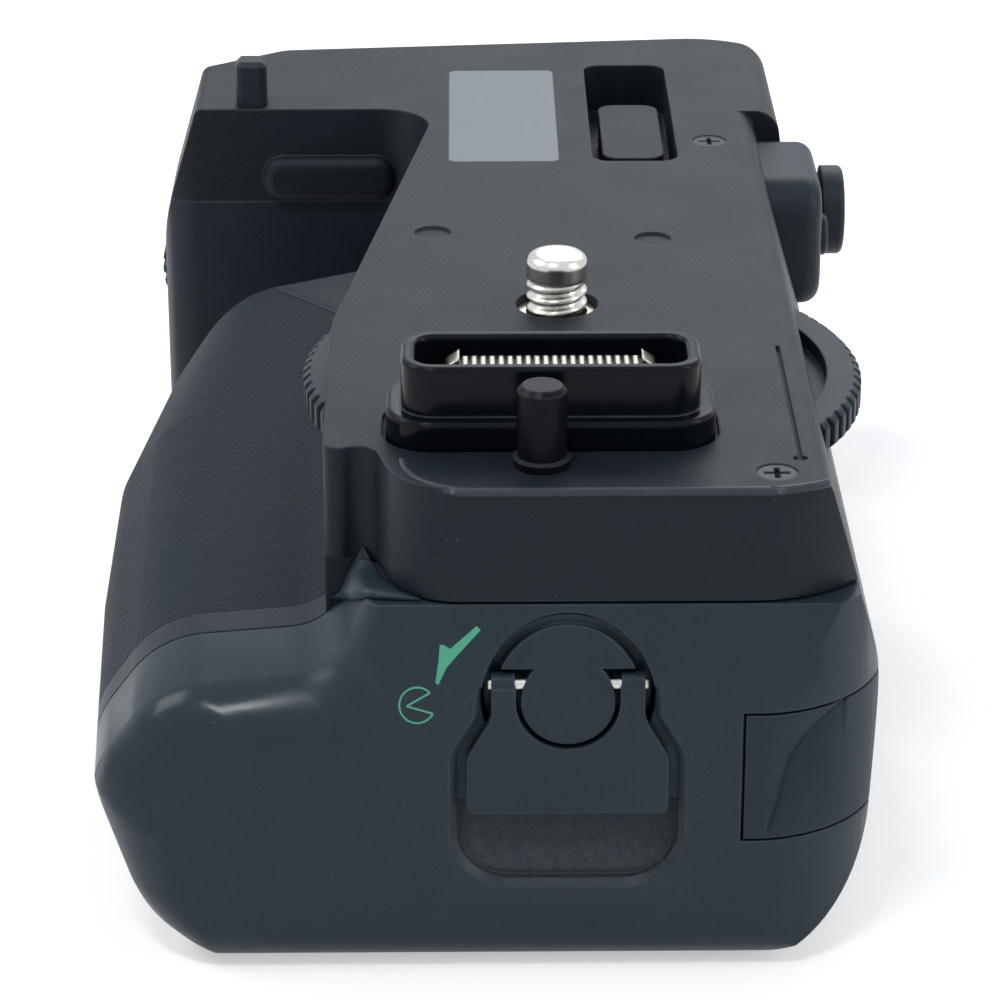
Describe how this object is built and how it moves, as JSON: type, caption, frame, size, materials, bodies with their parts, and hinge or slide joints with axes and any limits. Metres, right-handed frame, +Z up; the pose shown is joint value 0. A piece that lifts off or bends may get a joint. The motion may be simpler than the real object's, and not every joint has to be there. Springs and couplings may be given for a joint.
{
  "type": "camera battery grip",
  "caption": "Battery grip that screws under a camera: horned housing with a front handle, deck with connector and screw, sliding battery holder, keyhole latch.",
  "frame": {"origin": "axis of the attachment screw, at the level of the deck that the camera rests on", "axes": "+X towards the battery end, -Y towards the front with the handle, +Z up towards the camera"},
  "size_m": [0.1421, 0.0818, 0.0575],
  "materials": {
    "deck_plastic": "fine textured dark grey plastic",
    "case_plastic": "satin black plastic with a cool tint",
    "grip_rubber": "pebbled dark grey rubber",
    "cover_rubber": "smooth soft rubber",
    "base_metal": "black painted plate",
    "black_screw": "blackened steel",
    "bright_steel": "plain turned steel, a little worn",
    "gloss_black": "polished black plastic",
    "gold_contact": "gold-plated contact",
    "board": "green circuit board",
    "label_print": "plain grey label sheet",
    "wheel_plastic": "ribbed dark plastic",
    "latch_metal": "black painted flap with worn edges"
  },
  "bodies": {
    "housing": {"top_casing": "deck_plastic", "main_casing": "case_plastic", "handle_rubber": "grip_rubber", "thumb_rubber": "grip_rubber", "base_plate": "base_metal", "base_screws": "black_screw", "tripod_bush": "bright_steel", "label_plate": "label_print", "deck_screws": "black_screw", "connector_shroud": "gloss_black", "connector_block": "gloss_black", "connector_contacts": "gold_contact", "connector_board": "board", "guide_pin": "gloss_black", "guide_peg": "case_plastic", "wheel_axle": "bright_steel", "circuit_board": "board", "chamber_contact_block": "case_plastic", "chamber_contact_pins": "gold_contact", "rear_control_panel": "case_plastic", "control_board": "board", "dial_axles": "bright_steel"},
    "attachment_screw": {"attachment_screw": "bright_steel"},
    "attachment_wheel": {"attachment_wheel": "wheel_plastic"},
    "holder": {"battery_holder": "case_plastic", "holder_contacts": "gold_contact", "cap_screws": "black_screw", "end_cap": "case_plastic"},
    "latch_knob": {"latch_knob": "gloss_black", "latch_bolt": "bright_steel", "flap_pins": "bright_steel"},
    "latch_flap": {"latch_flap": "latch_metal"},
    "dc_cover": {"dc_cover": "cover_rubber"},
    "shutter_button": {"shutter_button": "gloss_black"},
    "shutter_lock_ring": {"shutter_lock_ring": "case_plastic"},
    "main_dial": {"main_dial": "wheel_plastic"},
    "sub_dial": {"sub_dial": "wheel_plastic"},
    "af_button": {"af_button": "gloss_black"},
    "selector_rocker": {"selector_rocker": "case_plastic"},
    "selector_pad": {"selector_pad": "gloss_black"}
  },
  "joints": [
    {"name": "wheel_turn", "type": "hinge", "parent": "housing", "child": "attachment_wheel", "pos_m": [0.00805, 0.0024, -0.0075], "axis": [0, 0, 1], "continuous": true},
    {"name": "screw_turn", "type": "hinge", "parent": "housing", "child": "attachment_screw", "pos_m": [0, 0, 0], "axis": [0, 0, 1], "continuous": true},
    {"name": "holder_slide", "type": "slide", "parent": "housing", "child": "holder", "axis": [1, 0, 0], "range_m": [0, 0.08]},
    {"name": "latch_knob_turn", "type": "hinge", "parent": "holder", "child": "latch_knob", "pos_m": [0.0446, 0, -0.0207], "axis": [1, 0, 0], "range_deg": [0, 90]},
    {"name": "latch_flap_lift", "type": "hinge", "parent": "latch_knob", "child": "latch_flap", "pos_m": [0.0487, 0, -0.0193], "axis": [0, -1, 0], "range_deg": [0, 90]},
    {"name": "dc_cover_swing", "type": "hinge", "parent": "holder", "child": "dc_cover", "pos_m": [0.0388, 0.0301, -0.0286], "axis": [0, 0, 1], "range_deg": [0, 90]},
    {"name": "shutter_press", "type": "slide", "parent": "housing", "child": "shutter_button", "axis": [0.813, 0.5823, 0], "range_m": [0, 0.0009], "stiffness_N_per_m": 600, "springref_m": -0.0006},
    {"name": "shutter_lock_turn", "type": "hinge", "parent": "housing", "child": "shutter_lock_ring", "pos_m": [-0.08255, -0.03855, -0.0215], "axis": [-0.813, -0.5823, 0], "range_deg": [0, 40]},
    {"name": "main_dial_turn", "type": "hinge", "parent": "housing", "child": "main_dial", "pos_m": [-0.0832, 0.0252, -0.0205], "axis": [1, 0, 0], "continuous": true},
    {"name": "sub_dial_turn", "type": "hinge", "parent": "housing", "child": "sub_dial", "pos_m": [-0.071, -0.0361, -0.0215], "axis": [1, 0, 0], "continuous": true},
    {"name": "af_button_press", "type": "slide", "parent": "housing", "child": "af_button", "axis": [0, -1, 0], "range_m": [0, 0.0006], "stiffness_N_per_m": 500, "springref_m": -0.0005},
    {"name": "selector_tilt_up_down", "type": "hinge", "parent": "housing", "child": "selector_rocker", "pos_m": [-0.057, 0.0282, -0.0102], "axis": [1, 0, 0], "range_deg": [-5, 5], "stiffness_Nm_per_rad": 0.03},
    {"name": "selector_tilt_left_right", "type": "hinge", "parent": "selector_rocker", "child": "selector_pad", "pos_m": [-0.057, 0.0282, -0.0102], "axis": [0, 0, 1], "range_deg": [-5, 5], "stiffness_Nm_per_rad": 0.03}
  ],
  "couplings": [
    {"joint": "screw_turn", "follows": "wheel_turn", "ratio": -1},
    {"joint": "latch_flap_lift", "follows": "latch_knob_turn", "ratio": 1}
  ]
}
